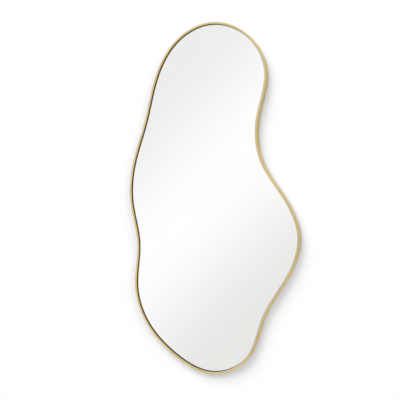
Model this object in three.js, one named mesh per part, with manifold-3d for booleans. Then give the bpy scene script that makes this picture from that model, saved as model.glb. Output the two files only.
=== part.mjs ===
// Irregular wall mirror. A silvered glass panel sits behind the narrow lip of a thin brass rim, taped to
// a backing board that small welded lugs hold in the rim. Two ring hangers and four rubber bumpers are
// behind. Millimetres, +Z up, +X to the right of someone who looks into the mirror, the front faces -Y.
// The origin is on the wall's surface, behind the middle of the mirror's height and width.
import * as THREE from "three";
import { mergeVertices } from "three/addons/utils/BufferGeometryUtils.js";
import Module from "manifold-3d";

// Overall size, over the outside of the rim
const overallHeight = 1100;
const overallWidth = 556;

// The outside of the rim as seen from the front, clockwise from the crown. One smooth curve runs
// through the points and is then fitted to the overall size.
const outlinePoints = [
  [-4, 550], // crown
  [119, 501],
  [177, 382], // right shoulder
  [152, 250],
  [163, 117], // right waist, which curves inward
  [234, 3],
  [279, -122], // right hip, the widest place
  [238, -250],
  [170, -367], // shallow hollow under the hip
  [121, -492],
  [3, -550], // foot
  [-121, -503],
  [-217, -409],
  [-259, -283], // left heel
  [-251, -148], // left hollow
  [-275, -15], // left hip
  [-265, 119],
  [-225, 248],
  [-191, 379],
  [-124, 495], // left shoulder
];
const outlineSteps = 200; // straight facets round every outline

// Rim: an angle section with a narrow front lip
const rimDepth = 22;
const rimWall = 1.5;
const lipWidth = 5; // the front face, from the outside of the rim
const lipThickness = 2.5;
const rimOuterRadius = 0.8; // of the front face's outer edge
const rimInnerRadius = 0.5; // of its inner edge

// Glass, tape and board, one behind the other
const glassThickness = 4;
const glassEdgeGap = 1; // from the glass to the rim's wall
const glassEdgeBevel = 0.5;
const tapeThickness = 1;
const tapeWidth = 25;
const tapePitch = 60;
const tapeCount = 5;
const tapeMargin = 22; // from the board's edge to the ends of the tape
const boardThickness = 6;
const boardEdgeGap = 2; // from the board to the rim's wall
const seatGap = 0.3; // between pieces that rest on each other

// Lugs that are welded inside the rim, each with one screw into the board
const lugCount = 10;
const lugSheet = 1.5;
const lugWidth = 20;
const lugReach = 15; // from the rim's wall to the lug's free end
const lugRise = 5.5; // height of the flange that is welded to the rim
const lugBendRadius = 2; // outside of the bend
const lugCornerRadius = 4;
const lugHoleReach = 8.5; // from the rim's wall to the screw

// Pan-head wood screws, the same for lugs and hangers
const screwShankRadius = 1.75;
const screwLength = 7; // under the head
const screwTipLength = 2.5;
const screwHeadRadius = 3.5;
const screwHeadHeight = 2;
const screwHeadSkirt = 0.8; // height of the head's straight side
const screwHeadFlat = 2.8; // radius at which the head's crown levels out
const screwHoleGap = 0.4; // round the shank in the metal and in the board
const screwSides = 12;
const screwHoleRadius = screwShankRadius + screwHoleGap;

// Ring hangers: a folded strap that carries a wire ring
const hangerSpacing = 220;
const hangerHeight = 330; // of the ring's bar, above the middle of the mirror
const strapSheet = 1.2;
const strapWidth = 16;
const strapTail = 34; // from the bar's axis to the strap's lower end
const strapCornerRadius = 4;
const strapScrewDrops = [10, 26]; // from the bar's axis down to each screw
const strapFoldAngle = 50; // degrees below the bar where the fold leaves its round
const strapFoldLength = 6; // from the bar's axis to where the two layers lie flat
const ringWire = 3; // diameter
const ringRunningGap = 0.3; // round the bar inside the fold
const ringInnerWidth = 20;
const ringHeight = 17.5; // from the bar's axis to the middle of the bow
const ringCornerRadius = 2.5;
const ringBowFlat = 0.02; // straight wire at the top of the bow, between its two arcs
const ringSides = 8;

// Rubber bumpers between the board and the wall
const rimStandOff = 2; // from the wall to the rim's rear edge
const bumperRadius = 9;
const bumperTaper = 1;
const bumperInset = 36; // from the outside of the rim to the bumper's centre
const bumperPlaces = [1, 4, 6, 9]; // each halfway between the lug of this number and the next
const bumperSides = 20;

// Fineness of the curves, and how far a cutter reaches past what it cuts
const arcParts = 4;
const bendParts = 3;
const cutMargin = 1;
const sameVertex = 1e-4; // vertices closer than this are one

// Where each layer lies, from the front to the wall
const rimFrontY = -rimStandOff - rimDepth;
const glassFrontY = rimFrontY + lipThickness + seatGap;
const tapeFrontY = glassFrontY + glassThickness + seatGap;
const boardFrontY = tapeFrontY + tapeThickness + seatGap;
const boardRearY = boardFrontY + boardThickness;
const fittingY = boardRearY + seatGap; // the face that all rear fittings rest on

const wasm = await Module();
wasm.setup();

// ---- solids and shapes ----

// A closed geometry as a solid for cuts and joins.
function solidFrom(geometry) {
  const bare = geometry.index ? geometry.toNonIndexed() : geometry.clone();
  bare.deleteAttribute("normal");
  bare.deleteAttribute("uv");
  const merged = mergeVertices(bare, sameVertex);
  return new wasm.Manifold(
    new wasm.Mesh({
      numProp: 3,
      vertProperties: merged.attributes.position.array,
      triVerts: new Uint32Array(merged.index.array),
    }),
  );
}

function geometryFrom(solid) {
  const mesh = solid.getMesh();
  const geometry = new THREE.BufferGeometry();
  geometry.setAttribute("position", new THREE.BufferAttribute(mesh.vertProperties, 3));
  geometry.setIndex(new THREE.BufferAttribute(mesh.triVerts, 1));
  return geometry;
}

// A closed shape whose corners are [x, y, radius], or [x, y] where the corner is sharp. The first one
// is rounded.
function roundedShape(corners) {
  const shape = new THREE.Shape();
  corners.forEach(([x, y, radius], i) => {
    if (!radius) {
      shape.lineTo(x, y);
      return;
    }
    const [beforeX, beforeY] = corners[(i + corners.length - 1) % corners.length];
    const [afterX, afterY] = corners[(i + 1) % corners.length];
    const corner = new THREE.Vector2(x, y);
    const back = new THREE.Vector2(beforeX, beforeY).sub(corner).normalize();
    const ahead = new THREE.Vector2(afterX, afterY).sub(corner).normalize();
    const halfAngle = Math.acos(back.dot(ahead)) / 2;
    const inward = back.clone().add(ahead).normalize();
    const centre = inward.multiplyScalar(radius / Math.sin(halfAngle)).add(corner);
    const reach = radius / Math.tan(halfAngle);
    const from = back.clone().multiplyScalar(reach).add(corner).sub(centre);
    const to = ahead.clone().multiplyScalar(reach).add(corner).sub(centre);
    const turnsRight = back.cross(ahead) > 0;
    shape.absarc(centre.x, centre.y, radius, from.angle(), to.angle(), turnsRight);
  });
  return shape;
}

// A plate whose shape is drawn as seen from the front (x, z) and whose rear face is at rearY.
function plate(shape, thickness, rearY, bevel = 0) {
  const geometry = new THREE.ExtrudeGeometry(shape, {
    depth: thickness - 2 * bevel,
    bevelEnabled: bevel > 0,
    bevelThickness: bevel,
    bevelSize: bevel,
    bevelOffset: -bevel,
    bevelSegments: 1,
    curveSegments: arcParts,
  });
  geometry.rotateX(Math.PI / 2);
  return geometry.translate(0, rearY - bevel, 0);
}

// A sheet of even thickness, bent along a path in the (y, z) plane, centred on x = 0.
function bentSheet(path, thickness, width) {
  const points = path.getPoints(bendParts);
  const sides = [-1, 1].map((side) =>
    points.map((point, i) => {
      const before = points[Math.max(i - 1, 0)];
      const after = points[Math.min(i + 1, points.length - 1)];
      const along = after.clone().sub(before).normalize();
      const across = new THREE.Vector2(-along.y, along.x);
      return across.multiplyScalar((side * thickness) / 2).add(point);
    }),
  );
  const section = new THREE.Shape([...sides[0], ...sides[1].reverse()]);
  const geometry = new THREE.ExtrudeGeometry(section, { depth: width, bevelEnabled: false });
  const toWorld = new THREE.Matrix4().makeBasis(
    new THREE.Vector3(0, 1, 0),
    new THREE.Vector3(0, 0, 1),
    new THREE.Vector3(1, 0, 0),
  );
  return geometry.applyMatrix4(toWorld).translate(-width / 2, 0, 0);
}

// A closed section swept round a closed outline in the (x, z) plane. The section's points are
// [inset, y], with the inset measured inward from the outline.
function sweptRing(outline, section) {
  const positions = [];
  const index = [];
  const around = outline.length;
  const across = section.length;
  outline.forEach((point, i) => {
    const outward = outwardNormal(outline, i);
    section.forEach(([inset, y]) => {
      positions.push(point.x - outward.x * inset, y, point.y - outward.y * inset);
    });
    section.forEach((_, j) => {
      const here = i * across + j;
      const beside = i * across + ((j + 1) % across);
      const next = ((i + 1) % around) * across + j;
      const nextBeside = ((i + 1) % around) * across + ((j + 1) % across);
      index.push(here, beside, next, beside, nextBeside, next);
    });
  });
  const geometry = new THREE.BufferGeometry();
  geometry.setAttribute("position", new THREE.Float32BufferAttribute(positions, 3));
  geometry.setIndex(index);
  return geometry;
}

// An upright rod along Y, from lowY to highY, to cut a hole with.
function rodAlongY(x, z, radius, lowY, highY) {
  const geometry = new THREE.CylinderGeometry(radius, radius, highY - lowY, screwSides);
  return solidFrom(geometry.translate(x, (lowY + highY) / 2, z));
}

// ---- the outline ----

// A closed cubic spline: it passes through every point, and its bending changes smoothly.
class ClosedSpline extends THREE.Curve {
  constructor(points) {
    super();
    this.points = points;
    this.arcLengthDivisions = 100 * points.length; // fine enough to space points evenly
    this.bends = points.map(() => new THREE.Vector2());
    const sweeps = 30; // the bends settle to a millionth in fewer
    for (let sweep = 0; sweep < sweeps; sweep++) {
      points.forEach((point, i) => {
        const [before, beforeBend] = this.at(i - 1);
        const [after, afterBend] = this.at(i + 1);
        const second = before.clone().add(after).addScaledVector(point, -2);
        this.bends[i] = second.multiplyScalar(6).sub(beforeBend).sub(afterBend).divideScalar(4);
      });
    }
  }

  at(i) {
    const wrapped = (i + this.points.length) % this.points.length;
    return [this.points[wrapped], this.bends[wrapped]];
  }

  getPoint(share, target = new THREE.Vector2()) {
    const place = share * this.points.length;
    const i = Math.floor(place);
    const t = place - i;
    const [from, fromBend] = this.at(i);
    const [to, toBend] = this.at(i + 1);
    target.copy(from).lerp(to, t);
    target.addScaledVector(fromBend, (-t * (1 - t) * (2 - t)) / 6);
    return target.addScaledVector(toBend, (-t * (1 - t) * (1 + t)) / 6);
  }
}

// The unit normal that points out of a clockwise outline at point i.
function outwardNormal(outline, i) {
  const before = outline[(i + outline.length - 1) % outline.length];
  const after = outline[(i + 1) % outline.length];
  const along = after.clone().sub(before).normalize();
  return new THREE.Vector2(-along.y, along.x);
}

// The outside of the rim: the drawn curve, scaled and centred to the overall size.
function drawRimOutline() {
  const drawn = new ClosedSpline(outlinePoints.map(([x, z]) => new THREE.Vector2(x, z)));
  const points = drawn.getSpacedPoints(outlineSteps).slice(0, outlineSteps);
  const box = new THREE.Box2().setFromPoints(points);
  const size = box.getSize(new THREE.Vector2());
  const middle = box.getCenter(new THREE.Vector2());
  const scale = new THREE.Vector2(overallWidth / size.x, overallHeight / size.y);
  return points.map((point) => point.sub(middle).multiply(scale));
}

const rimOutline = drawRimOutline();

function insetOutline(inset) {
  return rimOutline.map((point, i) =>
    outwardNormal(rimOutline, i).multiplyScalar(-inset).add(point),
  );
}

function outlineLength() {
  return rimOutline.reduce((length, point, i) => {
    return length + point.distanceTo(rimOutline[(i + 1) % outlineSteps]);
  }, 0);
}

// A place on the outline, counted in lugs from the crown, with the outward direction there.
function placeOnOutline(count) {
  const step = ((count / lugCount) * outlineSteps) % outlineSteps;
  const i = Math.floor(step);
  const next = (i + 1) % outlineSteps;
  const point = rimOutline[i].clone().lerp(rimOutline[next], step - i);
  const outward = outwardNormal(rimOutline, i).lerp(outwardNormal(rimOutline, next), step - i);
  return { point, outward: outward.normalize() };
}

// How far a flat flange of the given width has to stay off the rim's wall to clear its curve.
function curveAllowance(count, width) {
  const middle = placeOnOutline(count);
  const countPerLength = lugCount / outlineLength();
  const stations = [-1, -0.5, 0.5, 1].map((share) => (share * width * countPerLength) / 2);
  const rises = stations.map((shift) => {
    const beside = placeOnOutline(count + shift);
    const wall = beside.point.clone().addScaledVector(beside.outward, -rimWall);
    return -wall.sub(middle.point).dot(middle.outward) - rimWall;
  });
  return Math.max(0, ...rises);
}

// The middle of the outline's area, which is where the mirror balances.
function balancePoint() {
  const sum = new THREE.Vector2();
  let area = 0;
  rimOutline.forEach((point, i) => {
    const next = rimOutline[(i + 1) % outlineSteps];
    const slice = point.cross(next) / 2;
    area += slice;
    sum.addScaledVector(point.clone().add(next), slice / 3);
  });
  return sum.divideScalar(area);
}

// ---- finishes ----

const brass = { color: 0xdcc28a, roughness: 0.32, metalness: 1 };
const silvered = { color: 0xe9eceb, roughness: 0.03, metalness: 1 };
const blackBoard = { color: 0x26251f, roughness: 0.85, metalness: 0 };
const foamTape = { color: 0xd9d9d4, roughness: 0.9, metalness: 0 };
const zincSteel = { color: 0xb9bcc0, roughness: 0.38, metalness: 1 };
const nickelSteel = { color: 0xcdcac2, roughness: 0.25, metalness: 1 };
const blackRubber = { color: 0x1c1c1c, roughness: 0.8, metalness: 0 };

function named(name, geometry, finish) {
  const mesh = new THREE.Mesh(geometry, new THREE.MeshStandardMaterial(finish));
  mesh.name = name;
  return mesh;
}

// ---- sub-parts ----

function makeRim() {
  const rearY = -rimStandOff;
  const seatY = rimFrontY + lipThickness;
  const section = roundedShape([
    [0, rimFrontY, rimOuterRadius],
    [lipWidth, rimFrontY, rimInnerRadius],
    [lipWidth, seatY],
    [rimWall, seatY],
    [rimWall, rearY],
    [0, rearY],
  ]);
  const points = section.getPoints(1).map((point) => [point.x, point.y]);
  return named("rim", sweptRing(rimOutline, points), brass);
}

function makeGlass() {
  const shape = new THREE.Shape(insetOutline(rimWall + glassEdgeGap));
  const rearY = glassFrontY + glassThickness;
  return named("mirror_glass", plate(shape, glassThickness, rearY, glassEdgeBevel), silvered);
}

// The lowest and highest z of the board above and below the mirror's middle, at one x.
function boardSpanAt(x) {
  const outline = insetOutline(rimWall + boardEdgeGap);
  const crossings = [];
  outline.forEach((point, i) => {
    const next = outline[(i + 1) % outline.length];
    if (point.x < x !== next.x < x) {
      const share = (x - point.x) / (next.x - point.x);
      crossings.push(point.y + (next.y - point.y) * share);
    }
  });
  const low = Math.max(...crossings.filter((z) => z < 0));
  const high = Math.min(...crossings.filter((z) => z > 0));
  return { low, high };
}

function makeTape(i) {
  const x = (i - (tapeCount - 1) / 2) * tapePitch;
  const edges = [x - tapeWidth / 2, x + tapeWidth / 2].map(boardSpanAt);
  const low = Math.max(...edges.map((edge) => edge.low)) + tapeMargin;
  const high = Math.min(...edges.map((edge) => edge.high)) - tapeMargin;
  const strip = new THREE.BoxGeometry(tapeWidth, tapeThickness, high - low);
  const mesh = named(`bonding_tape_${i + 1}`, strip, foamTape);
  mesh.position.set(x, tapeFrontY + tapeThickness / 2, (low + high) / 2);
  return mesh;
}

function makeBoard(screws) {
  const shape = new THREE.Shape(insetOutline(rimWall + boardEdgeGap));
  let board = solidFrom(plate(shape, boardThickness, boardRearY));
  for (const { x, headY, z } of screws) {
    const bottomY = headY - screwLength - screwHoleGap;
    board = board.subtract(rodAlongY(x, z, screwHoleRadius, bottomY, boardRearY + cutMargin));
  }
  return named("backing_board", geometryFrom(board), blackBoard);
}

// The lug's own frame has z toward the rim, y toward the wall and x along the rim.
function makeLugGeometry() {
  const middle = lugSheet / 2;
  const bend = lugBendRadius - middle;
  const path = new THREE.Path();
  path.moveTo(middle, -lugReach);
  path.lineTo(middle, -lugBendRadius);
  path.absarc(lugBendRadius, -lugBendRadius, bend, Math.PI, Math.PI / 2, true);
  path.lineTo(lugRise, -middle);
  const sheet = solidFrom(bentSheet(path, lugSheet, lugWidth));
  const corners = [
    [-lugWidth / 2, -lugReach, lugCornerRadius],
    [-lugWidth / 2, cutMargin],
    [lugWidth / 2, cutMargin],
    [lugWidth / 2, -lugReach, lugCornerRadius],
  ];
  const depth = lugRise + 2 * cutMargin;
  const plan = solidFrom(plate(roundedShape(corners), depth, lugRise + cutMargin));
  const hole = rodAlongY(0, -lugHoleReach, screwHoleRadius, -cutMargin, lugSheet + cutMargin);
  return geometryFrom(sheet.intersect(plan).subtract(hole));
}

// Where each lug stands: against the rim's wall, and square to it.
function lugPlaces() {
  return Array.from({ length: lugCount }, (_, i) => {
    const place = placeOnOutline(i + 0.5);
    const inset = rimWall + curveAllowance(i + 0.5, lugWidth) + seatGap;
    const foot = place.point.clone().addScaledVector(place.outward, -inset);
    const screw = foot.clone().addScaledVector(place.outward, -lugHoleReach);
    const turn = Math.atan2(place.outward.x, place.outward.y);
    return { foot, screw, turn };
  });
}

function makeLug(place, i, geometry) {
  const mesh = named(`rim_lug_${i + 1}`, geometry, brass);
  mesh.position.set(place.foot.x, fittingY, place.foot.y);
  mesh.rotation.y = place.turn;
  return mesh;
}

// A pan-head screw along Y, with the underside of its head at y = 0 and its tip toward -Y.
function makeScrewGeometry() {
  const profile = new THREE.Path();
  profile.moveTo(0, -screwLength);
  profile.lineTo(screwShankRadius, screwTipLength - screwLength);
  profile.lineTo(screwShankRadius, 0);
  profile.lineTo(screwHeadRadius, 0);
  profile.lineTo(screwHeadRadius, screwHeadSkirt);
  profile.quadraticCurveTo(screwHeadFlat, screwHeadHeight, 0, screwHeadHeight);
  return new THREE.LatheGeometry(profile.getPoints(2), screwSides);
}

function makeScrew(name, place, geometry) {
  const mesh = named(name, geometry, zincSteel);
  mesh.position.set(place.x, place.headY, place.z);
  return mesh;
}

// The bar's axis lies this far behind the board, so that the fold rests on the board.
const foldRadius = ringWire / 2 + ringRunningGap + strapSheet;
const barY = fittingY + foldRadius;
const strapOuterY = fittingY + 2 * strapSheet + ringRunningGap;

// The strap's own frame has its origin on the bar's axis.
function makeStrapGeometry() {
  const round = foldRadius - strapSheet / 2;
  const innerY = -round;
  const outerY = innerY + strapSheet + ringRunningGap;
  const leave = THREE.MathUtils.degToRad(strapFoldAngle);
  const leaveY = round * Math.cos(leave);
  const leaveZ = -round * Math.sin(leave);
  const pull = round / 2; // how far the fold keeps its direction at both ends of its curve
  const path = new THREE.Path();
  path.moveTo(innerY, -strapTail);
  path.lineTo(innerY, 0);
  path.absarc(0, 0, round, Math.PI, -leave, true);
  path.bezierCurveTo(
    leaveY - pull * Math.sin(leave),
    leaveZ - pull * Math.cos(leave),
    outerY,
    -strapFoldLength + pull,
    outerY,
    -strapFoldLength,
  );
  path.lineTo(outerY, -strapTail);
  const sheet = solidFrom(bentSheet(path, strapSheet, strapWidth));
  const reach = foldRadius + cutMargin;
  const corners = [
    [-strapWidth / 2, -strapTail, strapCornerRadius],
    [-strapWidth / 2, reach],
    [strapWidth / 2, reach],
    [strapWidth / 2, -strapTail, strapCornerRadius],
  ];
  let strap = sheet.intersect(solidFrom(plate(roundedShape(corners), 2 * reach, reach)));
  for (const drop of strapScrewDrops) {
    strap = strap.subtract(rodAlongY(0, -drop, screwHoleRadius, -reach, reach));
  }
  return geometryFrom(strap);
}

// A wire ring with a straight bar along x at its origin and a round bow above it.
function makeRingGeometry() {
  const half = (ringInnerWidth + ringWire) / 2;
  const bowRadius = half - ringBowFlat / 2;
  const centreline = roundedShape([
    [-half, 0, ringCornerRadius],
    [-half, ringHeight, bowRadius],
    [half, ringHeight, bowRadius],
    [half, 0, ringCornerRadius],
  ]).getPoints(bendParts);
  const wire = Array.from({ length: ringSides }, (_, i) => {
    const turn = (i / ringSides) * 2 * Math.PI;
    return [(Math.cos(turn) * ringWire) / 2, (Math.sin(turn) * ringWire) / 2];
  });
  return sweptRing(centreline, wire);
}

// The two hangers stand either side of the point where the mirror balances.
function hangerPlaces() {
  const middle = balancePoint().x;
  return [-1, 1].map((side) => ({ x: middle + (side * hangerSpacing) / 2, z: hangerHeight }));
}

const sideNames = ["left", "right"];

function makeStrap(place, i, geometry) {
  const mesh = named(`hanger_strap_${sideNames[i]}`, geometry, nickelSteel);
  mesh.position.set(place.x, barY, place.z);
  return mesh;
}

// Each ring stands up, as on its wall hook, and leans until its bow nearly rests on the board.
function makeRing(place, i, geometry) {
  const lean = Math.asin((barY - fittingY - ringWire / 2) / ringHeight);
  const mesh = named(`hanger_ring_${sideNames[i]}`, geometry, nickelSteel);
  mesh.position.set(place.x, barY, place.z);
  mesh.rotation.x = lean;
  return mesh;
}

function makeBumper(place, i) {
  const height = -fittingY;
  const profile = [
    [0, 0],
    [bumperRadius, 0],
    [bumperRadius, height / 2],
    [bumperRadius - bumperTaper, height - bumperTaper / 2],
    [bumperRadius - 2 * bumperTaper, height],
    [0, height],
  ].map(([radius, y]) => new THREE.Vector2(radius, y));
  const mesh = named(`wall_bumper_${i + 1}`, new THREE.LatheGeometry(profile, bumperSides), blackRubber);
  const centre = place.point.clone().addScaledVector(place.outward, -bumperInset);
  mesh.position.set(centre.x, fittingY, centre.y);
  return mesh;
}

// ---- assembly ----

function buildMirror() {
  const lugs = lugPlaces();
  const hangers = hangerPlaces();
  const lugHeadY = fittingY + lugSheet + seatGap;
  const strapHeadY = strapOuterY + seatGap;
  const lugScrews = lugs.map(({ screw }) => ({ x: screw.x, headY: lugHeadY, z: screw.y }));
  const strapScrews = hangers.flatMap(({ x, z }) =>
    strapScrewDrops.map((drop) => ({ x, headY: strapHeadY, z: z - drop })),
  );

  const lugGeometry = makeLugGeometry();
  const screwGeometry = makeScrewGeometry();
  const strapGeometry = makeStrapGeometry();
  const ringGeometry = makeRingGeometry();
  const screwNames = ["upper", "lower"];

  const mirror = new THREE.Group();
  mirror.add(makeRim(), makeGlass(), makeBoard([...lugScrews, ...strapScrews]));
  for (let i = 0; i < tapeCount; i++) mirror.add(makeTape(i));
  lugs.forEach((place, i) => mirror.add(makeLug(place, i, lugGeometry)));
  lugScrews.forEach((place, i) => mirror.add(makeScrew(`lug_screw_${i + 1}`, place, screwGeometry)));
  hangers.forEach((place, i) => {
    mirror.add(makeStrap(place, i, strapGeometry), makeRing(place, i, ringGeometry));
  });
  strapScrews.forEach((place, i) => {
    const name = `hanger_screw_${sideNames[Math.floor(i / 2)]}_${screwNames[i % 2]}`;
    mirror.add(makeScrew(name, place, screwGeometry));
  });
  bumperPlaces.forEach((count, i) => mirror.add(makeBumper(placeOnOutline(count), i)));
  return mirror;
}

export default buildMirror();
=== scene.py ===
import math
import random

import bmesh
import bpy
from mathutils import Matrix, Vector


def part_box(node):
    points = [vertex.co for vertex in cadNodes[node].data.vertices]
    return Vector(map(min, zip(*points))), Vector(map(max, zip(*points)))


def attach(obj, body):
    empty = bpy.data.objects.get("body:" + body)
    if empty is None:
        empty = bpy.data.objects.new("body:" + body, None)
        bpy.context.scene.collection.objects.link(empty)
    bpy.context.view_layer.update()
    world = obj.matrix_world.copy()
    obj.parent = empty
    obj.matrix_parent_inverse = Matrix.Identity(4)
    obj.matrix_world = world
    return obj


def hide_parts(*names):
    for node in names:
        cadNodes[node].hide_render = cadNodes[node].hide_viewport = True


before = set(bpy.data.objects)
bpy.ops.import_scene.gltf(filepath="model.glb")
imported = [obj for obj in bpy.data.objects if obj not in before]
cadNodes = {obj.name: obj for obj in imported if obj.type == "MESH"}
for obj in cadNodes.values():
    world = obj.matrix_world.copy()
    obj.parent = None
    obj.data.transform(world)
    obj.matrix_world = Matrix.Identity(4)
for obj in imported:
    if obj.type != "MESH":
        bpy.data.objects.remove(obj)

# An irregular wall mirror in a thin brass rim, in metres. It faces -Y and hangs on a wall at y = 0.
scene = bpy.context.scene
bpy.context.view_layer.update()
mm = 0.001
mirrorBody = "mirror_body"
samePoint = 0.01 * mm  # points nearer than this are one point
finePoint = 0.005 * mm  # the same, on turned and bent pieces


# small helpers

def only(piece):
    bpy.ops.object.select_all(action="DESELECT")
    piece.select_set(True)
    bpy.context.view_layer.objects.active = piece


def newest(name):
    piece = bpy.context.object
    piece.name = name
    piece.data.name = name
    return piece


def edit(piece, select=True):
    only(piece)
    bpy.ops.object.mode_set(mode="EDIT")
    bpy.ops.mesh.select_all(action="SELECT" if select else "DESELECT")


def doneEditing():
    bpy.ops.object.mode_set(mode="OBJECT")


def applyModifiers(piece):
    only(piece)
    for modifier in list(piece.modifiers):
        bpy.ops.object.modifier_apply(modifier=modifier.name)


def settle(piece):  # the place goes into the mesh, the object stays at the origin
    only(piece)
    bpy.ops.object.transform_apply(location=True, rotation=True, scale=True)


def toMesh(piece, name):
    only(piece)
    bpy.ops.object.convert(target="MESH")
    return newest(name)


def roundEdges(piece, width, segments=2, angle=30):
    bevel = piece.modifiers.new("bevel", "BEVEL")
    bevel.width = width
    bevel.segments = segments
    bevel.limit_method = "ANGLE"
    bevel.angle_limit = math.radians(angle)
    applyModifiers(piece)


def smooth(piece, angle=35):
    only(piece)
    bpy.ops.object.shade_smooth_by_angle(angle=math.radians(angle))
    steady = piece.modifiers.new("steady", "WEIGHTED_NORMAL")  # flat faces stay flat in the light
    steady.keep_sharp = True
    applyModifiers(piece)


def cutWith(piece, cutter):
    cut = piece.modifiers.new("cut", "BOOLEAN")
    cut.operation = "DIFFERENCE"
    cut.solver = "EXACT"
    cut.object = cutter
    applyModifiers(piece)
    bpy.data.objects.remove(cutter)


def copyOfNode(node, name):
    piece = bpy.data.objects.new(name, cadNodes[node].data.copy())
    scene.collection.objects.link(piece)
    piece.data.materials.clear()
    edit(piece)
    bpy.ops.mesh.customdata_custom_splitnormals_clear()
    bpy.ops.mesh.remove_doubles(threshold=samePoint)
    bpy.ops.mesh.dissolve_limited(angle_limit=math.radians(0.5))
    doneEditing()
    return piece


def finishPiece(piece, material, nodes=(), body=mirrorBody):
    if material:
        piece.data.materials.clear()
        piece.data.materials.append(material)
    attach(piece, body)
    if nodes:
        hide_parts(*nodes)


def middleOf(node):
    low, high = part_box(node)
    return (low + high) / 2


def spanOf(piece, axis):
    places = [v.co[axis] for v in piece.data.vertices]
    return min(places), max(places)


# material helpers

def newMaterial(name, **values):
    material = bpy.data.materials.new(name)
    material.use_nodes = True
    shader = material.node_tree.nodes["Principled BSDF"]
    for key, value in values.items():
        shader.inputs[key.replace("_", " ")].default_value = value
    return material, material.node_tree, shader


def put(tree, kind, inputs=None, **settings):
    node = tree.nodes.new(kind)
    for key, value in settings.items():
        setattr(node, key, value)
    for key, value in (inputs or {}).items():
        if isinstance(value, bpy.types.NodeSocket):
            tree.links.new(value, node.inputs[key])
        else:
            node.inputs[key].default_value = value
    return node


def objectPlace(tree, scale=(1, 1, 1)):
    place = put(tree, "ShaderNodeTexCoord").outputs["Object"]
    return put(tree, "ShaderNodeMapping", {"Vector": place, "Scale": scale}).outputs["Vector"]


def noise(tree, place, scale, detail=3.0, roughness=0.5):
    made = put(tree, "ShaderNodeTexNoise", {
        "Vector": place, "Scale": scale, "Detail": detail, "Roughness": roughness,
    })
    return made.outputs["Fac"]


# From the middle of a noise to the range from low to high.
def spread(tree, value, low, high, fromLow=0.3, fromHigh=0.7, **settings):
    made = put(tree, "ShaderNodeMapRange", {
        "Value": value, "From Min": fromLow, "From Max": fromHigh, "To Min": low, "To Max": high,
    }, **settings)
    return made.outputs["Result"]


def cells(tree, place, scale):
    return put(tree, "ShaderNodeTexVoronoi", {"Vector": place, "Scale": scale}).outputs["Distance"]


def blend(tree, share, one, other):
    return put(tree, "ShaderNodeMix", {0: share, 6: one, 7: other}, data_type="RGBA").outputs[2]


def blendNumbers(tree, share, one, other):
    return put(tree, "ShaderNodeMix", {0: share, 2: one, 3: other}, data_type="FLOAT").outputs[0]


def maths(tree, operation, *values):
    made = put(tree, "ShaderNodeMath", dict(enumerate(values)), operation=operation)
    return made.outputs["Value"]


def axisOf(tree, vector, axis):
    return put(tree, "ShaderNodeSeparateXYZ", {"Vector": vector}).outputs[axis]


def bump(tree, height, distance, strength=1.0, under=None):
    inputs = {"Height": height, "Distance": distance, "Strength": strength}
    if under:
        inputs["Normal"] = under
    return put(tree, "ShaderNodeBump", inputs).outputs["Normal"]


def colour(red, green, blue):
    return (red, green, blue, 1)


def feed(tree, shader, **sockets):
    for name, value in sockets.items():
        tree.links.new(value, shader.inputs[name.replace("_", " ")])


# the rim's outline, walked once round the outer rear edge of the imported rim

def readOutline():
    form = bmesh.new()
    form.from_mesh(cadNodes["rim"].data)
    bmesh.ops.remove_doubles(form, verts=form.verts, dist=samePoint)
    form.normal_update()
    rearY = max(v.co.y for v in form.verts)
    beside = {}
    for e in form.edges:
        rearFaces = [f.normal.y > 0.9 for f in e.link_faces]
        if sum(rearFaces) == 1 and all(abs(v.co.y - rearY) < samePoint for v in e.verts):
            for v in e.verts:
                beside.setdefault(v, []).append(e.other_vert(v))
    start = max(beside, key=lambda v: v.co.z)
    loop = [start, max(beside[start], key=lambda v: v.co.x)]  # clockwise, as seen from the front
    while loop[-1] is not start:
        loop.append(next(v for v in beside[loop[-1]] if v is not loop[-2]))
    points = [Vector((v.co.x, v.co.z)) for v in loop[:-1]]
    form.free()
    return points


outline = readOutline()
print("outline:", len(outline), "points")


def outwardAt(i):
    along = (outline[(i + 1) % len(outline)] - outline[i - 1]).normalized()
    return Vector((-along.y, along.x))


def insetOutline(inset):
    return [point - outwardAt(i) * inset for i, point in enumerate(outline)]


# A flat curve in the mirror's plane, from closed loops of points and the kind of handle they have.
def flatCurve(name, loops):
    curve = bpy.data.curves.new(name, "CURVE")
    curve.dimensions = "2D"
    curve.resolution_u = 4
    for points, handle in loops:
        spline = curve.splines.new("BEZIER")
        spline.bezier_points.add(len(points) - 1)
        for knot, point in zip(spline.bezier_points, points):
            knot.co = (point[0], point[1], 0)
            knot.handle_left_type = knot.handle_right_type = handle
        spline.use_cyclic_u = True
    piece = bpy.data.objects.new(name, curve)
    scene.collection.objects.link(piece)
    return piece


# A plain line of points as a flat curve, closed or open.
def lineCurve(name, points, closed=True):
    curve = bpy.data.curves.new(name, "CURVE")
    curve.dimensions = "2D"
    spline = curve.splines.new("POLY")
    spline.points.add(len(points) - 1)
    for knot, point in zip(spline.points, points):
        knot.co = (point[0], point[1], 0, 1)
    spline.use_cyclic_u = closed
    piece = bpy.data.objects.new(name, curve)
    scene.collection.objects.link(piece)
    return piece


def faceOutward(piece):
    edit(piece)
    bpy.ops.mesh.normals_make_consistent(inside=False)
    doneEditing()


def closeUp(piece):
    edit(piece)
    bpy.ops.mesh.remove_doubles(threshold=finePoint)
    doneEditing()
    faceOutward(piece)


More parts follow.
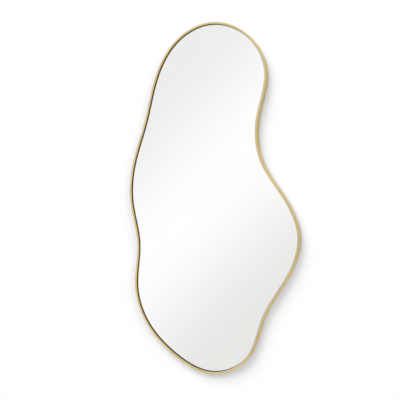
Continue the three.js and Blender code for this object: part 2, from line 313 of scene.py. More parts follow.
# The points of a shape whose corners are (x, y, radius, parts of the round).
def roundedPoints(corners):
    points = []
    for i, (x, y, radius, parts) in enumerate(corners):
        corner = Vector((x, y))
        back = (Vector(corners[i - 1][:2]) - corner).normalized()
        ahead = (Vector(corners[(i + 1) % len(corners)][:2]) - corner).normalized()
        centre = corner + (back + ahead) * radius
        for step in range(parts + 1):
            turn = step / parts * math.pi / 2
            points.append(centre - ahead * radius * math.cos(turn) - back * radius * math.sin(turn))
    return points


uprightTurn = Matrix.Rotation(math.pi / 2, 4, "X")  # drawn as seen from the front, depth toward -Y


# A profile of (radius, y) from axis to axis, turned round the Y axis.
def spun(name, profile, steps):
    piece = toMesh(lineCurve(name, profile, closed=False), name)
    edit(piece)
    bpy.ops.mesh.spin(steps=steps, angle=math.tau, center=(0, 0, 0), axis=(0, 1, 0))
    doneEditing()
    closeUp(piece)
    return piece


# A strip of sheet bent along a path of (y, z) points, centred on x = 0.
def bentStrip(name, path, width, sheet):
    strip = lineCurve(name, path, closed=False)
    strip.data.extrude = width / 2
    strip = toMesh(strip, name)
    strip.data.transform(Matrix(((0, 0, 1, 0), (1, 0, 0, 0), (0, 1, 0, 0), (0, 0, 0, 1))))
    closeUp(strip)
    wall = strip.modifiers.new("sheet", "SOLIDIFY")
    wall.thickness = sheet
    wall.offset = 0
    wall.use_even_offset = True
    applyModifiers(strip)
    faceOutward(strip)
    return strip


# The upright edges at the strip's lower corners become round.
def roundTail(piece, halfWidth, tailZ, radius):
    edit(piece, select=False)
    bpy.ops.mesh.select_mode(type="EDGE")
    form = bmesh.from_edit_mesh(piece.data)
    for e in form.edges:
        atTail = all(abs(v.co.z - tailZ) < samePoint for v in e.verts)
        atSide = all(abs(abs(v.co.x) - halfWidth) < samePoint for v in e.verts)
        if atTail and atSide and e.calc_length() < halfWidth / 2:
            e.select_set(True)
    bmesh.update_edit_mesh(piece.data)
    bpy.ops.mesh.bevel(offset=radius, segments=8, affect="EDGES")
    bpy.ops.mesh.select_mode(type="VERT")
    doneEditing()


def punchHole(piece, z, radius, reach):
    bpy.ops.mesh.primitive_cylinder_add(
        vertices=40, radius=radius, depth=2 * reach,
        location=(0, 0, z), rotation=(math.pi / 2, 0, 0),
    )
    cutWith(piece, bpy.context.object)


# A copy of a master piece, with its own mesh.
def placed(master, name, matrix):
    piece = bpy.data.objects.new(name, master.data.copy())
    piece.data.name = name
    scene.collection.objects.link(piece)
    piece.data.transform(matrix)
    return piece


def joined(pieces, name):
    only(pieces[0])
    for piece in pieces:
        piece.select_set(True)
    bpy.ops.object.join()
    return newest(name)


# Points on a part of a circle, with the angles in degrees.
def arc(centreX, centreY, radius, fromAngle, toAngle, parts):
    angles = [math.radians(fromAngle + (toAngle - fromAngle) * i / parts) for i in range(parts + 1)]
    return [(centreX + radius * math.cos(a), centreY + radius * math.sin(a)) for a in angles]


# camera, where the photograph was taken from

photoCamera = {
    "place": (0.5942, -1.9127, 0.0159),
    "aim": (-0.0364, -0.024, -0.0053),
    "lens": 56.97,  # in millimetres, as is the sensor
    "sensor": 36,
    "nearest": 0.05,
}


def makeCamera():
    bpy.ops.object.camera_add(location=photoCamera["place"])
    camera = bpy.context.object
    camera.name = "photoCamera"
    look = Vector(photoCamera["aim"]) - Vector(photoCamera["place"])
    camera.rotation_euler = look.to_track_quat("-Z", "Y").to_euler()
    camera.data.lens = photoCamera["lens"]
    camera.data.sensor_width = photoCamera["sensor"]
    camera.data.clip_start = photoCamera["nearest"]
    scene.camera = camera


makeCamera()
print("camera done")


# brass rim

rim = {
    "wall": 1.5 * mm,
    "lipWidth": 6.8 * mm,
    "lipThickness": 2.5 * mm,
    "outerRound": 0.8 * mm,
    "innerRound": 0.5 * mm,
    "brokenEdge": 0.15 * mm,
    "paleTone": colour(0.755, 0.595, 0.285),
    "deepTone": colour(0.68, 0.515, 0.22),
    "grainTone": colour(0.81, 0.68, 0.37),
    "grainScale": (9, 2200, 1),  # along the rim and round its section, in the rim's own map
    # dark paint inside the rim, and painted shade at the lip's inner edge
    "paintAndShadeTone": colour(0.065, 0.042, 0.012),
    "paintRoughness": 0.4,  # on top of the metal's own
    "paintAndShadeEndY": -15.8 * mm,  # y, a little in front of the board
}


# Brushed brass. On the rim the grain follows the rim's own map. What lies between the two places of
# the span argument, in front of the board, is coloured dark so that the glass shows no bright edge:
# paint inside the rim, painted shade at the lip.
def makeBrass(name, grainSource, grainScale, paintAndShadeSpan=None):
    material, tree, shader = newMaterial(name, Metallic=1.0, Anisotropic=0.3)
    coordinates = put(tree, "ShaderNodeTexCoord")
    grainPlace = put(tree, "ShaderNodeMapping", {
        "Vector": coordinates.outputs[grainSource], "Scale": grainScale,
    })
    grain = noise(tree, grainPlace.outputs["Vector"], 1.0, 4.0, 0.6)
    cloud = noise(tree, coordinates.outputs["Object"], 9.0, 3.0)
    speck = noise(tree, coordinates.outputs["Object"], 700.0, 2.0)
    tone = blend(tree, spread(tree, cloud, 0, 1), rim["deepTone"], rim["paleTone"])
    tone = blend(tree, spread(tree, grain, 0, 0.3), tone, rim["grainTone"])
    rough = maths(tree, "ADD", spread(tree, grain, 0.20, 0.33), spread(tree, speck, -0.01, 0.02))
    if paintAndShadeSpan:
        around = axisOf(tree, coordinates.outputs["UV"], "Y")
        depth = axisOf(tree, coordinates.outputs["Object"], "Y")
        after = maths(tree, "GREATER_THAN", around, paintAndShadeSpan[0])
        before = maths(tree, "LESS_THAN", around, paintAndShadeSpan[1])
        ahead = maths(tree, "LESS_THAN", depth, rim["paintAndShadeEndY"])
        within = maths(tree, "MULTIPLY", maths(tree, "MULTIPLY", after, before), ahead)
        # dark paint on the wall's inside and the lip's underside; painted shade on the lip's inner
        # face and round, for the shaded gap between lip and glass
        tone = blend(tree, within, tone, rim["paintAndShadeTone"])
        rough = maths(tree, "MULTIPLY_ADD", within, rim["paintRoughness"], rough)
        feed(tree, shader, Metallic=maths(tree, "SUBTRACT", 1.0, within))
    feed(tree, shader, Base_Color=tone, Roughness=rough, Normal=bump(tree, grain, 0.02 * mm, 0.3))
    return material


# The curve swells a little between its points; this brings it back to the rim's box.
def fitToRimBox(piece):
    low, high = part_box("rim")
    left, right = spanOf(piece, 0)
    bottom, top = spanOf(piece, 2)
    across = (high.x - low.x) / (right - left)
    upward = (high.z - low.z) / (top - bottom)
    piece.data.transform(Matrix.Diagonal((across, 1, upward, 1)))
    left, bottom = spanOf(piece, 0)[0], spanOf(piece, 2)[0]
    piece.data.transform(Matrix.Translation((low.x - left, 0, low.z - bottom)))


# The curve's own map counts points; this one measures metres, along the rim and round its section.
def measureMap(piece, reach):
    along = sum((outline[i] - outline[i - 1]).length for i in range(len(outline)))
    for place in piece.data.uv_layers.active.data:
        step = place.uv.y * (len(reach) - 1)
        i = min(int(step + 0.01), len(reach) - 2)  # 2.999 is point 3
        place.uv = (place.uv.x * along, reach[i] + (step - i) * (reach[i + 1] - reach[i]))


def makeRim():
    frontY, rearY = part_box("rim")[0].y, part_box("rim")[1].y
    depth = rearY - frontY
    seat = depth - rim["lipThickness"]
    wall, lip, edge = rim["wall"], rim["lipWidth"], rim["brokenEdge"]
    corners = [
        (0, 0, edge, 2),
        (wall, 0, edge, 2),
        (wall, seat, edge, 2),
        (lip, seat, edge, 2),
        (lip, depth, rim["innerRound"], 5),
        (0, depth, rim["outerRound"], 6),
    ]
    section = roundedPoints(corners)
    reach = [0]  # how far each point of the section is from the first, round the section
    for i, point in enumerate(section):
        reach.append(reach[-1] + (section[(i + 1) % len(section)] - point).length)
    cornerEnds = [sum(c[3] + 1 for c in corners[:i + 1]) - 1 for i in range(len(corners))]
    # the span runs up the wall's inside and under the lip, which are painted dark, then over the
    # lip's inner face and round, which carry painted shade
    paintAndShadeSpan = reach[cornerEnds[1]], reach[cornerEnds[4]]  # up the wall's inside and round the lip
    sectionCurve = lineCurve("rimSection", section)
    piece = flatCurve("rimPath", [(outline, "AUTO")])
    piece.data.bevel_mode = "OBJECT"
    piece.data.bevel_object = sectionCurve
    piece = toMesh(piece, "brass_rim")
    bpy.data.objects.remove(sectionCurve)
    piece.data.transform(Matrix.Translation((0, rearY, 0)) @ uprightTurn)
    measureMap(piece, reach)
    faceOutward(piece)
    fitToRimBox(piece)
    smooth(piece, 40)
    brass = makeBrass("brushedBrass", "UV", rim["grainScale"], paintAndShadeSpan)
    finishPiece(piece, brass, ["rim"])


makeRim()
print("rim done")


# glass, with its silver behind it

mirror = {
    "silverGap": 0.03 * mm,
    "silverThickness": 0.08 * mm,
    "ior": 1.52,
    "glassTone": colour(0.996, 1.0, 0.998),
}


def makeClearGlass():
    material, tree, shader = newMaterial(
        "clearGlass", Base_Color=mirror["glassTone"], Transmission_Weight=1.0, IOR=mirror["ior"],
    )
    wipe = noise(tree, objectPlace(tree, (3, 1, 9)), 1.0, 4.0)
    feed(tree, shader, Roughness=spread(tree, wipe, 0.0, 0.006))
    return material


def makeSilver():
    material, tree, shader = newMaterial("silverCoat", Metallic=1.0)
    cloud = noise(tree, objectPlace(tree), 4.0, 4.0)
    darker, lighter = colour(0.955, 0.957, 0.953), colour(0.966, 0.967, 0.963)
    tone = blend(tree, spread(tree, cloud, 0, 1), darker, lighter)
    feed(tree, shader, Base_Color=tone, Roughness=spread(tree, cloud, 0.0, 0.008))
    return material


def makeBackingPaint():
    material, tree, shader = newMaterial("mirrorBackPaint")
    mottle = noise(tree, objectPlace(tree), 60.0, 5.0)
    darker, lighter = colour(0.16, 0.17, 0.18), colour(0.22, 0.23, 0.24)
    tone = blend(tree, spread(tree, mottle, 0, 1), darker, lighter)
    rough = spread(tree, mottle, 0.45, 0.6)
    feed(tree, shader, Base_Color=tone, Roughness=rough, Normal=bump(tree, mottle, 0.02 * mm))
    return material


# The rear face of the glass, moved back a hair and given a thickness: silver before, paint behind.
def makeSilverSheet():
    piece = copyOfNode("mirror_glass", "mirror_silver")
    edit(piece, select=False)
    form = bmesh.from_edit_mesh(piece.data)
    for face in form.faces:
        face.select_set(face.normal.y < 0.9)
    bmesh.update_edit_mesh(piece.data)
    bpy.ops.mesh.delete(type="FACE")
    bpy.ops.mesh.select_all(action="SELECT")
    bpy.ops.mesh.flip_normals()
    doneEditing()
    piece.data.transform(Matrix.Translation((0, mirror["silverGap"], 0)))
    coat = piece.modifiers.new("coat", "SOLIDIFY")
    coat.thickness = mirror["silverThickness"]
    coat.offset = -1
    applyModifiers(piece)
    piece.data.materials.clear()
    piece.data.materials.append(makeSilver())
    piece.data.materials.append(makeBackingPaint())
    for polygon in piece.data.polygons:
        polygon.material_index = 1 if polygon.normal.y > 0.5 else 0
    finishPiece(piece, None)


def repaint(node, material):
    for place in cadNodes[node].material_slots:
        place.material = material


repaint("mirror_glass", makeClearGlass())
makeSilverSheet()
print("glass done")


# backing board and its foam tape

board = {
    "softEdge": 0.35 * mm,
    "paint": colour(0.020, 0.019, 0.018),
    "wornPaint": colour(0.045, 0.042, 0.038),
    "fibre": colour(0.13, 0.085, 0.05),
    "dust": colour(0.16, 0.15, 0.135),
}


def makeBoardPaint():
    material, tree, shader = newMaterial("paintedFibreboard")
    place = objectPlace(tree)
    cloud = noise(tree, place, 5.0, 5.0, 0.6)
    fibres = noise(tree, objectPlace(tree, (260, 260, 90)), 1.0, 5.0, 0.65)
    specks = cells(tree, place, 240.0)
    scuffs = noise(tree, objectPlace(tree, (16, 16, 120)), 1.0, 6.0, 0.7)
    normal = put(tree, "ShaderNodeNewGeometry").outputs["Normal"]
    facing = maths(tree, "ABSOLUTE", axisOf(tree, normal, "Y"))
    onEdge = spread(tree, facing, 0.0, 0.75, 0.9, 0.3)
    tone = blend(tree, spread(tree, cloud, 0, 1), board["paint"], board["wornPaint"])
    tone = blend(tree, spread(tree, fibres, 0, 0.35, 0.5, 0.75), tone, board["wornPaint"])
    tone = blend(tree, spread(tree, scuffs, 0, 0.4, 0.62, 0.8), tone, board["dust"])
    tone = blend(tree, spread(tree, specks, 0.35, 0, 0.02, 0.12), tone, board["dust"])
    tone = blend(tree, onEdge, tone, board["fibre"])
    relief = bump(tree, cloud, 0.3 * mm, 0.3, bump(tree, fibres, 0.12 * mm, 0.6))
    feed(tree, shader, Base_Color=tone, Roughness=spread(tree, cloud, 0.52, 0.74), Normal=relief)
    return material


def makeFoam():
    material, tree, shader = newMaterial("foamTape")
    pores = cells(tree, objectPlace(tree), 1400.0)
    cloud = noise(tree, objectPlace(tree), 40.0)
    darker, lighter = colour(0.66, 0.66, 0.63), colour(0.74, 0.73, 0.70)
    tone = blend(tree, spread(tree, cloud, 0, 1), darker, lighter)
    # the pore hollows are darkened: painted shade
    tone = blend(tree, spread(tree, pores, 0.5, 0, 0.0, 0.5), tone, colour(0.5, 0.49, 0.46))
    rough = spread(tree, pores, 0.95, 0.8, 0.0, 0.5)
    feed(tree, shader, Base_Color=tone, Roughness=rough, Normal=bump(tree, pores, 0.1 * mm))
    return material


def makeBoard():
    piece = copyOfNode("backing_board", "fibreboard")
    roundEdges(piece, board["softEdge"], 3, 50)
    smooth(piece, 40)
    finishPiece(piece, makeBoardPaint(), ["backing_board"])


makeBoard()
foam = makeFoam()
for node in cadNodes:
    if node.startswith("bonding_tape"):
        repaint(node, foam)
print("board and tape done")


# rim lugs, each with the weld that holds it to the rim

lug = {
    "sheet": 1.5 * mm,
    "width": 20 * mm,
    "reach": 15 * mm,
    "rise": 5.5 * mm,
    "bendRadius": 2 * mm,
    "cornerRadius": 4 * mm,
    "holeReach": 8.5 * mm,
    "holeRadius": 2.15 * mm,
    "softEdge": 0.2 * mm,
    "weldLength": 14 * mm,
    "weldDrops": 10,
    "weldRadius": 0.95 * mm,
    "weldSwell": 0.1,  # how much thicker or thinner a drop of weld may be
    "weldWander": 0.1 * mm,  # how far off the line it may lie
    "weldSink": 0.1 * mm,
    "weldVoxel": 0.22 * mm,
    "grainScale": (60, 60, 900),
}
random.seed(11)


# A row of drops, melted into one another.
def makeWeld():
    swell, wander = lug["weldSwell"], lug["weldWander"]
    drops = []
    for i in range(lug["weldDrops"]):
        along = (i / (lug["weldDrops"] - 1) - 0.5) * lug["weldLength"]
        bpy.ops.mesh.primitive_uv_sphere_add(
            segments=20, ring_count=12,
            radius=lug["weldRadius"] * random.uniform(1 - swell, 1 + swell),
            location=(along, lug["rise"] - lug["weldSink"], random.uniform(-wander, wander)),
        )
        drops.append(bpy.context.object)
    weld = joined(drops, "weld")
    settle(weld)
    weld.data.remesh_voxel_size = lug["weldVoxel"]
    bpy.ops.object.voxel_remesh()
    ease = weld.modifiers.new("ease", "SMOOTH")
    ease.factor = 0.5
    ease.iterations = 3
    applyModifiers(weld)
    return weld


def makeLug():
    middle = lug["sheet"] / 2
    bend = lug["bendRadius"]
    path = [(middle, -lug["reach"])]
    path += arc(bend, -bend, bend - middle, 180, 90, 8)
    path += [(lug["rise"], -middle)]
    piece = bentStrip("lug", path, lug["width"], lug["sheet"])
    roundTail(piece, lug["width"] / 2, -lug["reach"], lug["cornerRadius"])
    punchHole(piece, -lug["holeReach"], lug["holeRadius"], lug["bendRadius"])
    roundEdges(piece, lug["softEdge"], 2, 40)
    piece = joined([piece, makeWeld()], "lug")
    smooth(piece, 40)
    return piece


# The middle of a node's volume.
def balanceOf(node):
    mesh = cadNodes[node].data
    mesh.calc_loop_triangles()
    total, middle = 0.0, Vector()
    for triangle in mesh.loop_triangles:
        a, b, c = (mesh.vertices[i].co for i in triangle.vertices)
        volume = a.dot(b.cross(c)) / 6
        total += volume
        middle += (a + b + c) / 4 * volume
    return middle / total


# A lug's place comes from its screw's axis and from the way that its flange lies from there.
def lugMatrix(number):
    screwAxis = middleOf(f"lug_screw_{number}")
    toRim = balanceOf(f"rim_lug_{number}") - screwAxis
    toRim.y = 0
    toRim.normalize()
    foot = screwAxis + toRim * lug["holeReach"]
    foot.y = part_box(f"rim_lug_{number}")[0].y
    return Matrix.Translation(foot) @ Matrix.Rotation(math.atan2(toRim.x, toRim.z), 4, "Y")


lugBrass = makeBrass("plainBrass", "Object", lug["grainScale"])
lugMaster = makeLug()
lugCount = sum(node.startswith("rim_lug") for node in cadNodes)
for number in range(1, lugCount + 1):
    piece = placed(lugMaster, f"welded_lug_{number}", lugMatrix(number))
    finishPiece(piece, lugBrass, [f"rim_lug_{number}"])
bpy.data.objects.remove(lugMaster)
print("lugs done")


# pan-head screws with a cross recess

screw = {
    "shankRadius": 1.75 * mm,
    "length": 7 * mm,
    "tip": 2.5 * mm,
    "bluntTip": (0.15 * mm, 0.1 * mm),  # radius and height
    "headRadius": 3.5 * mm,
    "headHeight": 2 * mm,
    "headEdge": 0.1 * mm,
    "straightSide": 0.4,  # this much of the head's height; the rest is the dome
    "recessLength": 4.0 * mm,
    "recessWidth": 0.9 * mm,
    "recessDepth": 1.3 * mm,
    "recessStart": 0.4 * mm,  # above the head
    "recessBottom": 0.6,  # as a share of its size at the top
}


def makeZinc():
    material, tree, shader = newMaterial("zincPlate", Metallic=1.0)
    place = objectPlace(tree)
    cloud = noise(tree, place, 320.0, 4.0)
    tint = noise(tree, place, 60.0, 2.0)
    darker, lighter = colour(0.50, 0.52, 0.55), colour(0.66, 0.67, 0.68)
    tone = blend(tree, spread(tree, cloud, 0, 1), darker, lighter)
    tone = blend(tree, spread(tree, tint, 0, 0.4), tone, colour(0.62, 0.62, 0.52))
    rough = spread(tree, cloud, 0.28, 0.46)
    feed(tree, shader, Base_Color=tone, Roughness=rough, Normal=bump(tree, cloud, 0.03 * mm, 0.5))
    return material


# A cross that narrows toward its bottom, drawn above the head and pushed down into it.
def makeRecessCutter():
    arm, half = screw["recessLength"] / 2, screw["recessWidth"] / 2
    corners = [(arm, -half), (arm, half), (half, half), (half, arm), (-half, arm), (-half, half)]
    corners += [(-x, -y) for x, y in corners]
    cutter = toMesh(lineCurve("recess", corners), "recess")
    top = screw["headHeight"] + screw["recessStart"]
    cutter.data.transform(Matrix.Translation((0, top, 0)) @ uprightTurn)
    edit(cutter)
    bpy.ops.mesh.edge_face_add()
    drop = screw["recessStart"] + screw["recessDepth"]
    bpy.ops.mesh.extrude_region_move(TRANSFORM_OT_translate={"value": (0, -drop, 0)})
    bpy.ops.transform.resize(value=(screw["recessBottom"], 1, screw["recessBottom"]))
    doneEditing()
    faceOutward(cutter)
    return cutter


def makeScrew():
    radius, height, edge = screw["headRadius"], screw["headHeight"], screw["headEdge"]
    shank, length = screw["shankRadius"], screw["length"]
    bluntRadius, bluntHeight = screw["bluntTip"]
    straight = screw["straightSide"]
    profile = [(0, -length), (bluntRadius, bluntHeight - length)]
    profile += [(shank, screw["tip"] - length), (shank, 0)]
    profile += [(radius - edge, 0), (radius, edge), (radius, straight * height)]
    for along, up in arc(0, 0, 1, 10, 80, 7):
        profile.append((radius * along, height * (straight + (1 - straight) * up)))
    profile.append((0, height))
    piece = spun("screw", profile, 32)
    cutWith(piece, makeRecessCutter())
    edit(piece)
    bpy.ops.mesh.remove_doubles(threshold=samePoint)
    bpy.ops.mesh.dissolve_degenerate(threshold=finePoint)
    doneEditing()
    smooth(piece, 40)
    return piece


zinc = makeZinc()
screwMaster = makeScrew()
for node in [n for n in cadNodes if "screw" in n]:
    seat = middleOf(node)
    seat.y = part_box(node)[1].y - screw["headHeight"]
    turned = Matrix.Translation(seat) @ Matrix.Rotation(random.uniform(0, math.pi), 4, "Y")
    piece = placed(screwMaster, node.replace("screw", "panscrew"), turned)
    finishPiece(piece, zinc, [node])
bpy.data.objects.remove(screwMaster)
print("screws done")


# hanger straps and rings

hanger = {
    "sheet": 1.2 * mm,
    "width": 16 * mm,
    "tail": 34 * mm,
    "cornerRadius": 4 * mm,
    "screwDrops": (10 * mm, 26 * mm),
    "holeRadius": 2.15 * mm,
    "foldRadius": 3 * mm,
    "foldAngle": 50,
    "foldLength": 6 * mm,
    "layerGap": 0.3 * mm,
    "softEdge": 0.18 * mm,
    "wire": 3 * mm,
    "ringInnerWidth": 20 * mm,
    "ringHeight": 17.5 * mm,
    "ringCorner": 2.5 * mm,
}


def makeNickel():
    material, tree, shader = newMaterial("nickelPlate", Metallic=1.0)
    place = objectPlace(tree)
    drawn = noise(tree, objectPlace(tree, (900, 900, 40)), 1.0, 3.0)
    cloud = noise(tree, place, 90.0, 3.0)
    stain = noise(tree, place, 28.0, 5.0)
    darker, lighter = colour(0.60, 0.585, 0.55), colour(0.70, 0.685, 0.65)
    tone = blend(tree, spread(tree, cloud, 0, 1), darker, lighter)
    tone = blend(tree, spread(tree, stain, 0, 0.45, 0.5, 0.75), tone, colour(0.42, 0.38, 0.32))
    stained = spread(tree, stain, 0.0, 0.14, 0.45, 0.8)
    rough = maths(tree, "ADD", spread(tree, drawn, 0.18, 0.30), stained)
    relief = bump(tree, drawn, 0.015 * mm, 0.35)
    feed(tree, shader, Base_Color=tone, Roughness=rough, Normal=relief)
    return material


def bezier(start, pullStart, pullEnd, end, parts):
    guides = (start, pullStart, pullEnd, end)
    points = []
    for i in range(1, parts + 1):
        t = i / parts
        weights = ((1 - t) ** 3, 3 * t * (1 - t) ** 2, 3 * t * t * (1 - t), t ** 3)
        points.append([sum(w * guide[k] for w, guide in zip(weights, guides)) for k in (0, 1)])
    return points


# The strap's sheet runs round the ring's straight side, in to the board and down in two layers.
def makeStrap():
    turn = hanger["foldRadius"] - hanger["sheet"] / 2
    outerY = -turn + hanger["sheet"] + hanger["layerGap"]
    slope = math.radians(hanger["foldAngle"])
    pull = turn / 2
    fold = arc(0, 0, turn, 180, -hanger["foldAngle"], 22)
    roundEnd = fold[-1]
    fold += bezier(
        roundEnd,
        (roundEnd[0] - pull * math.sin(slope), roundEnd[1] - pull * math.cos(slope)),
        (outerY, pull - hanger["foldLength"]),
        (outerY, -hanger["foldLength"]),
        8,
    )
    path = [(-turn, -hanger["tail"])] + fold + [(outerY, -hanger["tail"])]
    piece = bentStrip("strap", path, hanger["width"], hanger["sheet"])
    roundTail(piece, hanger["width"] / 2, -hanger["tail"], hanger["cornerRadius"])
    for drop in hanger["screwDrops"]:
        punchHole(piece, -drop, hanger["holeRadius"], 2 * hanger["foldRadius"])
    roundEdges(piece, hanger["softEdge"], 2, 40)
    smooth(piece, 40)
    return piece


def makeRing():
    half = (hanger["ringInnerWidth"] + hanger["wire"]) / 2
    height, corner = hanger["ringHeight"], hanger["ringCorner"]
    bow = half - samePoint  # the two upper rounds don't quite meet
    piece = lineCurve("ring", roundedPoints([
        (-half, 0, corner, 8),
        (-half, height, bow, 20),
        (half, height, bow, 20),
        (half, 0, corner, 8),
    ]))
    piece.data.dimensions = "3D"
    piece.data.bevel_depth = hanger["wire"] / 2
    piece.data.bevel_resolution = 5
    piece.data.use_fill_caps = False
    piece = toMesh(piece, "ring")
    piece.data.transform(uprightTurn)
    faceOutward(piece)
    smooth(piece, 60)
    return piece


nickel = makeNickel()
strapMaster = makeStrap()
ringMaster = makeRing()
# The ring leans until its top rests on the board.
ringLean = math.asin((hanger["foldRadius"] - hanger["wire"] / 2) / hanger["ringHeight"])
for side in ("left", "right"):
    low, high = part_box(f"hanger_strap_{side}")
    bar = Vector(((low.x + high.x) / 2, low.y + hanger["foldRadius"], low.z + hanger["tail"]))
    inFold = Matrix.Translation(bar)
    strap = placed(strapMaster, f"folded_strap_{side}", inFold)
    finishPiece(strap, nickel, [f"hanger_strap_{side}"])
    ring = placed(ringMaster, f"wire_ring_{side}", inFold @ Matrix.Rotation(ringLean, 4, "X"))
    finishPiece(ring, nickel, [f"hanger_ring_{side}"], f"ring_{side}")
bpy.data.objects.remove(strapMaster)
bpy.data.objects.remove(ringMaster)
print("hangers done")


# rubber bumpers

bumper = {
    "radius": 9 * mm,
    "footEdge": 0.15 * mm,
    "footHeight": 1.2 * mm,
    "footLip": 0.5 * mm,
    "footSlope": 0.4 * mm,
    "sideTaper": 0.25 * mm,  # for each half of the height
    "endRadius": 7 * mm,
    "endRound": 0.9 * mm,
    "endFlatness": 0.9,  # the round's width as a share of its height
    "endSlope": 0.4 * mm,
}


def makeRubber():
    material, tree, shader = newMaterial("blackRubber")
    place = objectPlace(tree)
    grain = noise(tree, place, 1500.0, 2.0)
    cloud = noise(tree, place, 130.0, 4.0)
    bloom = noise(tree, place, 45.0, 5.0)
    darker, lighter = colour(0.016, 0.016, 0.016), colour(0.032, 0.031, 0.030)
    tone = blend(tree, spread(tree, cloud, 0, 1), darker, lighter)
    tone = blend(tree, spread(tree, bloom, 0, 0.4, 0.5, 0.8), tone, colour(0.10, 0.098, 0.092))
    rough = spread(tree, cloud, 0.55, 0.75)
    feed(tree, shader, Base_Color=tone, Roughness=rough, Normal=bump(tree, grain, 0.05 * mm, 0.5))
    return material


def makeBumper(height):
    radius, edge, foot = bumper["radius"], bumper["footEdge"], bumper["footHeight"]
    side, taper = radius - bumper["footLip"], bumper["sideTaper"]
    end, endRound = bumper["endRadius"], bumper["endRound"]
    profile = [(0, 0), (radius - edge, 0), (radius, edge), (radius, foot)]
    profile += [(side, foot + bumper["footSlope"]), (side - taper, 0.5 * height)]
    profile += [(side - 2 * taper, height - endRound - bumper["endSlope"])]
    for along, up in arc(0, 0, endRound, 0, 90, 6):
        profile.append((end + bumper["endFlatness"] * along, height - endRound + up))
    profile.append((0, height))
    piece = spun("bumper", profile, 48)
    smooth(piece, 35)
    return piece


rubber = makeRubber()
low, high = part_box("wall_bumper_1")
bumperMaster = makeBumper(high.y - low.y)
for node in [n for n in cadNodes if n.startswith("wall_bumper")]:
    foot = middleOf(node)
    foot.y = low.y
    name = node.replace("wall_bumper", "rubber_bumper")
    piece = placed(bumperMaster, name, Matrix.Translation(foot))
    finishPiece(piece, rubber, [node])
bpy.data.objects.remove(bumperMaster)
print("bumpers done")


# wall, floor and light

stage = {
    "wallReach": 9.0,
    "wallHoleInset": 4 * mm,
    "wallTone": colour(0.9, 0.9, 0.9),
    "floorZ": -1.55,
    "floorSize": 30,
    "floorGlow": (0.22, 0.04),  # far off and near
    "floorGlowY": (-3.2, -1.4),
    "lampDistance": 3,
}
lights = [  # name, direction it comes from, angular size, strength
    ("frontLight", (0.0, -1.0, 0.0), 20, 1.28),
    ("keyLight", (-0.406, -0.624, 0.668), 48, 2.20),
    ("sideLight", (0.67, -0.638, 0.383), 44, 1.08),
    ("rearLight", (-0.45, 0.75, 0.5), 60, 2.6),
]


# The surface lets everything through where hidden is 1.
def clearWhere(tree, hidden, shader):
    clear = put(tree, "ShaderNodeBsdfTransparent").outputs["BSDF"]
    mixed = put(tree, "ShaderNodeMixShader", {0: hidden, 1: shader.outputs["BSDF"], 2: clear})
    tree.links.new(mixed.outputs["Shader"], tree.nodes["Material Output"].inputs["Surface"])


# 1 for light that a matt surface has thrown back. The floor, the cloth and the room give it little
# or nothing, because the shadows on the wall would fade in it.
def thrownBack(tree):
    bounces = put(tree, "ShaderNodeLightPath").outputs["Diffuse Depth"]
    return maths(tree, "GREATER_THAN", bounces, 0.5)


# Clear from behind, so that the mirror's back can be seen, and with a hole behind the mirror.
def makeWall():
    material, tree, shader = newMaterial(
        "whiteWall", Base_Color=stage["wallTone"], Roughness=0.9, Specular_IOR_Level=0,
    )
    clearWhere(tree, put(tree, "ShaderNodeNewGeometry").outputs["Backfacing"], shader)
    reach = stage["wallReach"]
    square = [(-reach, stage["floorZ"]), (reach, stage["floorZ"]), (reach, reach), (-reach, reach)]
    piece = flatCurve("wall", [(square, "VECTOR"), (insetOutline(stage["wallHoleInset"]), "AUTO")])
    piece.data.fill_mode = "BOTH"
    piece = toMesh(piece, "wall")
    piece.data.transform(uprightTurn)
    piece.data.materials.append(material)


# It glows a little more far off, so that it meets the cloth in the glass without an edge.
def makeFloor():
    material, tree, shader = newMaterial("paleFloor", Roughness=0.6)
    cloud = noise(tree, objectPlace(tree), 1.5, 4.0)
    darker, lighter = colour(0.80, 0.79, 0.775), colour(0.83, 0.82, 0.805)
    tone = blend(tree, spread(tree, cloud, 0, 1), darker, lighter)
    away = axisOf(tree, objectPlace(tree), "Y")
    glow = spread(tree, away, *stage["floorGlow"], *stage["floorGlowY"])
    feed(tree, shader, Base_Color=tone, Emission_Color=tone, Emission_Strength=glow)
    clearWhere(tree, thrownBack(tree), shader)
    bpy.ops.mesh.primitive_plane_add(size=stage["floorSize"], location=(0, 0, stage["floorZ"]))
    piece = newest("floor")
    settle(piece)
    piece.data.materials.append(material)
    piece.visible_diffuse = piece.visible_shadow = False


scrim = {
    "middle": (0, -3.0, 1.7),
    "size": (14, 6.5),
    "slant": 47,  # degrees
    "shift": 0.662,  # of the band's middle
    "rampReach": 1.2,
    "band": [  # how far off the middle, and the tone there
        (-0.95, colour(0.855, 0.855, 0.855)), (-0.05, colour(1, 1, 1)),
        (0.02, colour(1, 1, 1)), (1.0, colour(0.82, 0.82, 0.803)),
    ],
    "glow": (1.04, 0.1),  # left and right of the fade
    "fadeX": (0.5, 0.9),
}


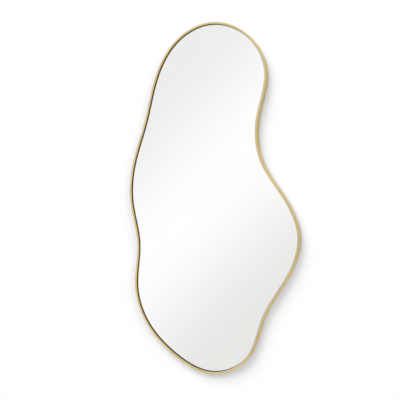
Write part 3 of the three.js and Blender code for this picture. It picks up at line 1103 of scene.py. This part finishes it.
# The bright cloth in front of the mirror shows in the glass and on the metal, and lights nothing.
def makeScrim():
    material = bpy.data.materials.new("scrim")
    material.use_nodes = True
    tree = material.node_tree
    tree.nodes.clear()
    place = objectPlace(tree)
    across, up = axisOf(tree, place, "X"), axisOf(tree, place, "Z")
    turn = math.radians(scrim["slant"])
    slantwise = maths(tree, "MULTIPLY_ADD", up, -math.sin(turn), scrim["shift"])
    slantwise = maths(tree, "MULTIPLY_ADD", across, math.cos(turn), slantwise)
    reach = scrim["rampReach"]
    onRamp = spread(tree, slantwise, 0.0, 1.0, -reach, reach)
    ramp = put(tree, "ShaderNodeValToRGB", {"Fac": onRamp})
    ramp.color_ramp.interpolation = "EASE"
    stops = ramp.color_ramp.elements
    stops.remove(stops[0])
    for at, tone in scrim["band"]:
        stops.new((at + reach) / (2 * reach)).color = tone
    stops.remove(stops[-1])
    fade = spread(
        tree, across, *scrim["glow"], *scrim["fadeX"], interpolation_type="SMOOTHSTEP",
    )
    strength = maths(tree, "MULTIPLY", fade, maths(tree, "SUBTRACT", 1.0, thrownBack(tree)))
    glow = put(tree, "ShaderNodeEmission", {"Color": ramp.outputs["Color"], "Strength": strength})
    put(tree, "ShaderNodeOutputMaterial", {"Surface": glow.outputs["Emission"]})
    bpy.ops.mesh.primitive_plane_add(
        size=1, location=scrim["middle"], rotation=(math.pi / 2, 0, 0),
    )
    piece = newest("scrim")
    piece.scale = (*scrim["size"], 1)
    settle(piece)
    piece.data.materials.append(material)
    piece.visible_camera = piece.visible_diffuse = piece.visible_shadow = False


def makeLights():
    for name, source, spreadAngle, strength in lights:
        bpy.ops.object.light_add(type="SUN", location=Vector(source) * stage["lampDistance"])
        lamp = bpy.context.object
        lamp.name = name
        lamp.rotation_euler = (-Vector(source)).to_track_quat("-Z", "Y").to_euler()
        lamp.data.angle = math.radians(spreadAngle)
        lamp.data.energy = strength
        lamp.visible_glossy = lamp.visible_transmission = False


room = {
    "glow": (0.3, 1.1),  # seen in the metal, from below and from above
    "glowHeight": (-0.5, 0.8),
    "toTheCamera": 1.0,
    "afterMatt": 0.05,
}


# White to the camera, a bright ceiling that fades downward in the metal, and a little fill.
def makeRoom():
    world = bpy.data.worlds.new("room")
    world.use_nodes = True
    tree = world.node_tree
    tree.nodes.clear()
    up = axisOf(tree, put(tree, "ShaderNodeTexCoord").outputs["Generated"], "Z")
    shade = spread(tree, up, *room["glow"], *room["glowHeight"])
    shade = blendNumbers(tree, thrownBack(tree), shade, room["afterMatt"])
    seen = put(tree, "ShaderNodeLightPath").outputs["Is Camera Ray"]
    shade = blendNumbers(tree, seen, shade, room["toTheCamera"])
    sky = put(tree, "ShaderNodeBackground", {"Color": colour(1, 1, 1), "Strength": shade})
    put(tree, "ShaderNodeOutputWorld", {"Surface": sky.outputs["Background"]})
    world.cycles.sampling_method = "NONE"  # each kind of ray finds its own brightness
    scene.world = world


makeWall()
makeFloor()
makeScrim()
makeLights()
makeRoom()
scene.view_settings.view_transform = "Standard"
print("stage done")
